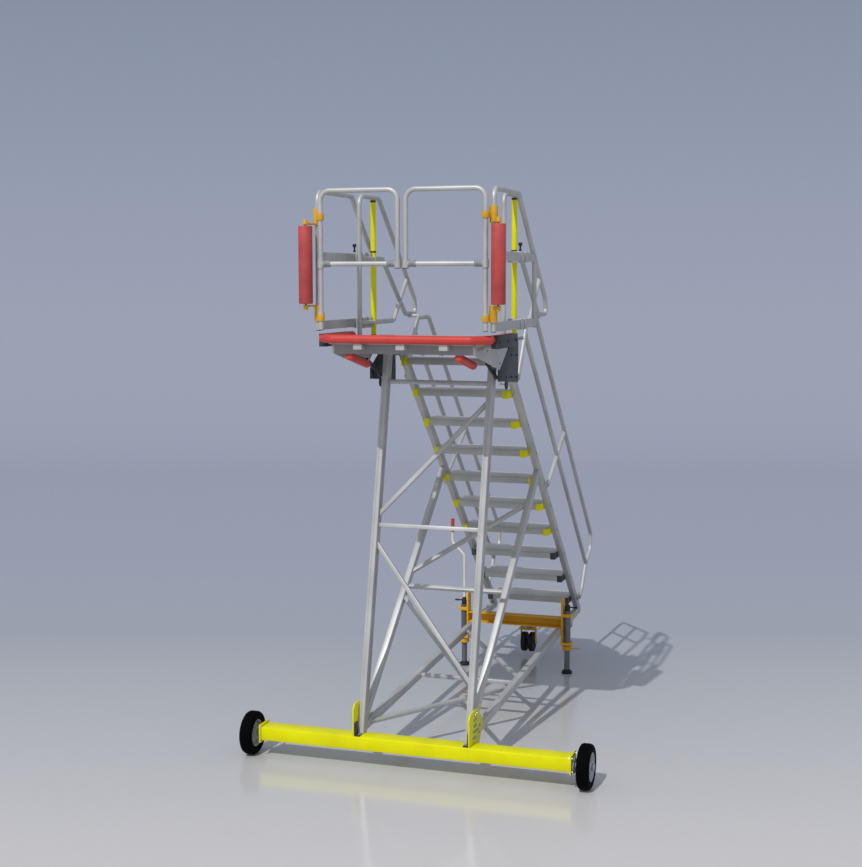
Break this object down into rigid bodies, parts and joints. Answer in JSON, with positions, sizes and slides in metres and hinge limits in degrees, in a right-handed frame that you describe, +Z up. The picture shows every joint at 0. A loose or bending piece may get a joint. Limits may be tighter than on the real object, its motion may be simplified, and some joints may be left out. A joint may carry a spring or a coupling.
{
  "type": "maintenance access platform",
  "caption": "Wheeled access platform with a stair, handrails and a railed work deck that closes with swing gates between sliding side guards.",
  "frame": {"origin": "middle of the platform's width and length, on the floor", "axes": "+X to the right, +Y from the work deck towards the foot of the stair, +Z up"},
  "size_m": [2.564, 4.1845, 4.017],
  "materials": {
    "aluminium": "satin",
    "deck_mesh": "satin",
    "yellow_paint": "semi-gloss",
    "orange_paint": "semi-gloss",
    "red_paint": "semi-gloss",
    "red_plastic": "matte",
    "dark_paint": "satin",
    "black_plastic": "matte",
    "black_rubber": "matte",
    "tyre_rubber": "matte",
    "grey_paint": "satin",
    "steel": "brushed",
    "black_paint": "satin",
    "chrome": "polished",
    "cream_paint": "satin"
  },
  "bodies": {
    "frame": {"axle_beam": "yellow_paint", "axle_end_plates": "yellow_paint", "bottom_chord_left": "aluminium", "bottom_chord_right": "aluminium", "bracing": "aluminium", "bumper": "red_paint", "bumper_ends": "dark_paint", "caster_plate": "steel", "deck_beams": "aluminium", "deck_frame": "aluminium", "deck_panel": "deck_mesh", "foot_brackets": "dark_paint", "front_post_left": "aluminium", "front_post_right": "aluminium", "gas_spring_bodies": "black_paint", "gas_spring_rods": "chrome", "grab_tubes": "yellow_paint", "guard_guides": "aluminium", "gusset_plates": "yellow_paint", "handrail_left": "aluminium", "handrail_right": "aluminium", "inner_guard_left": "aluminium", "inner_guard_right": "aluminium", "jack_brackets": "orange_paint", "jack_heads": "steel", "jack_housings": "steel", "jack_lever": "cream_paint", "jack_rings": "orange_paint", "leaning_post_left": "aluminium", "leaning_post_right": "aluminium", "lever_grip": "red_plastic", "plungers": "black_plastic", "rear_beam": "orange_paint", "rear_cross_member": "aluminium", "side_plates": "dark_paint", "stringers": "aluminium", "stub_axles": "steel", "tread_brackets_lower": "dark_paint", "tread_brackets_upper": "yellow_paint", "treads": "aluminium", "under_pads": "red_plastic"},
    "wheel_left": {"tyre_left": "tyre_rubber", "rim_left": "grey_paint"},
    "wheel_right": {"tyre_right": "tyre_rubber", "rim_right": "grey_paint"},
    "guard_left": {"side_guard_left": "aluminium", "roller_brackets_left": "orange_paint"},
    "guard_right": {"side_guard_right": "aluminium", "roller_brackets_right": "orange_paint"},
    "gate_left": {"gate_left": "aluminium"},
    "gate_right": {"gate_right": "aluminium"},
    "roller_left": {"roller_left": "red_plastic"},
    "roller_right": {"roller_right": "red_plastic"},
    "caster_fork": {"caster_fork": "orange_paint"},
    "caster_wheels": {"caster_wheels": "black_rubber"},
    "jack_leg_left": {"jack_leg_left": "steel", "jack_foot_left": "black_rubber"},
    "jack_leg_right": {"jack_leg_right": "steel", "jack_foot_right": "black_rubber"}
  },
  "joints": [
    {"name": "wheel_left_spin", "type": "hinge", "parent": "frame", "child": "wheel_left", "pos_m": [-1.225, -1.79475, 0.155], "axis": [1, 0, 0], "continuous": true},
    {"name": "guard_left_slide", "type": "slide", "parent": "frame", "child": "guard_left", "axis": [0, -1, 0], "range_m": [0, 0.15]},
    {"name": "gate_left_swing", "type": "hinge", "parent": "guard_left", "child": "gate_left", "pos_m": [-0.575, -2.00975, 3.515], "axis": [0, 0, 1], "range_deg": [0, 90]},
    {"name": "roller_left_spin", "type": "hinge", "parent": "guard_left", "child": "roller_left", "pos_m": [-0.67, -2.04475, 3.508], "axis": [0, 0, 1], "continuous": true},
    {"name": "jack_leg_left_raise", "type": "slide", "parent": "frame", "child": "jack_leg_left", "axis": [0, 0, 1], "range_m": [0, 0.15]},
    {"name": "wheel_right_spin", "type": "hinge", "parent": "frame", "child": "wheel_right", "pos_m": [1.225, -1.79475, 0.155], "axis": [1, 0, 0], "continuous": true},
    {"name": "guard_right_slide", "type": "slide", "parent": "frame", "child": "guard_right", "axis": [0, -1, 0], "range_m": [0, 0.15]},
    {"name": "gate_right_swing", "type": "hinge", "parent": "guard_right", "child": "gate_right", "pos_m": [0.575, -2.00975, 3.515], "axis": [0, 0, -1], "range_deg": [0, 90]},
    {"name": "roller_right_spin", "type": "hinge", "parent": "guard_right", "child": "roller_right", "pos_m": [0.67, -2.04475, 3.508], "axis": [0, 0, 1], "continuous": true},
    {"name": "jack_leg_right_raise", "type": "slide", "parent": "frame", "child": "jack_leg_right", "axis": [0, 0, 1], "range_m": [0, 0.15]},
    {"name": "caster_swivel", "type": "hinge", "parent": "frame", "child": "caster_fork", "pos_m": [0, 1.43525, 0.265], "axis": [0, 0, 1], "continuous": true},
    {"name": "caster_spin", "type": "hinge", "parent": "caster_fork", "child": "caster_wheels", "pos_m": [0, 1.48525, 0.132], "axis": [1, 0, 0], "continuous": true}
  ]
}
